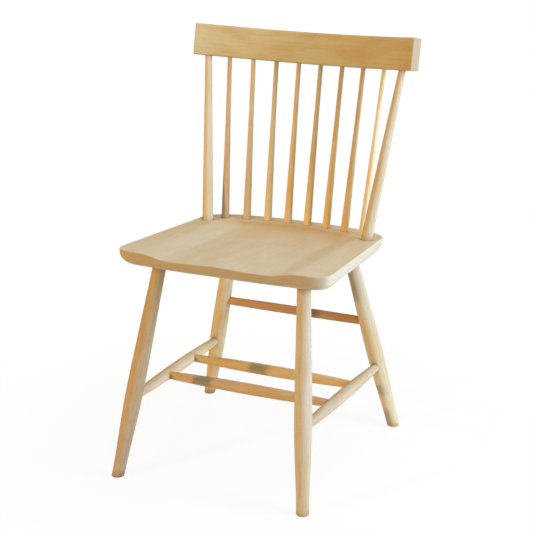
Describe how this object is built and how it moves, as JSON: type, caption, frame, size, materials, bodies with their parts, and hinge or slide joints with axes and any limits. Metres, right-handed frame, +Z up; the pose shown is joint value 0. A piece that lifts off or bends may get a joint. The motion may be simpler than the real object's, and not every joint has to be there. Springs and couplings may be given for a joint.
{
  "type": "spindle-back side chair",
  "caption": "Side chair in pale hardwood: a carved saddle seat on raked turned legs tied by stretchers, with posts and slim spindles under a bent crest rail.",
  "frame": {"origin": "on the floor, under the middle of the chair's bounding box", "axes": "+Z up from the floor; -Y the way the sitter faces; +X the chair's right as seen from the front"},
  "size_m": [0.4844, 0.5202, 0.8132],
  "materials": {
    "seat_wood": "bare sanded pale hardwood",
    "underframe_wood": "bare turned and sanded pale hardwood",
    "back_wood": "bare sanded pale hardwood"
  },
  "bodies": {
    "root": {"seat": "seat_wood", "leg_front_left": "underframe_wood", "leg_front_right": "underframe_wood", "leg_rear_left": "underframe_wood", "leg_rear_right": "underframe_wood", "side_stretcher_left": "underframe_wood", "side_stretcher_right": "underframe_wood", "cross_stretcher_front": "underframe_wood", "cross_stretcher_rear": "underframe_wood", "rear_stretcher": "underframe_wood", "crest_rail": "back_wood", "back_post_left": "back_wood", "back_post_right": "back_wood", "spindle_1": "back_wood", "spindle_2": "back_wood", "spindle_3": "back_wood", "spindle_4": "back_wood", "spindle_5": "back_wood", "spindle_6": "back_wood", "spindle_7": "back_wood", "spindle_8": "back_wood"}
  },
  "joints": []
}
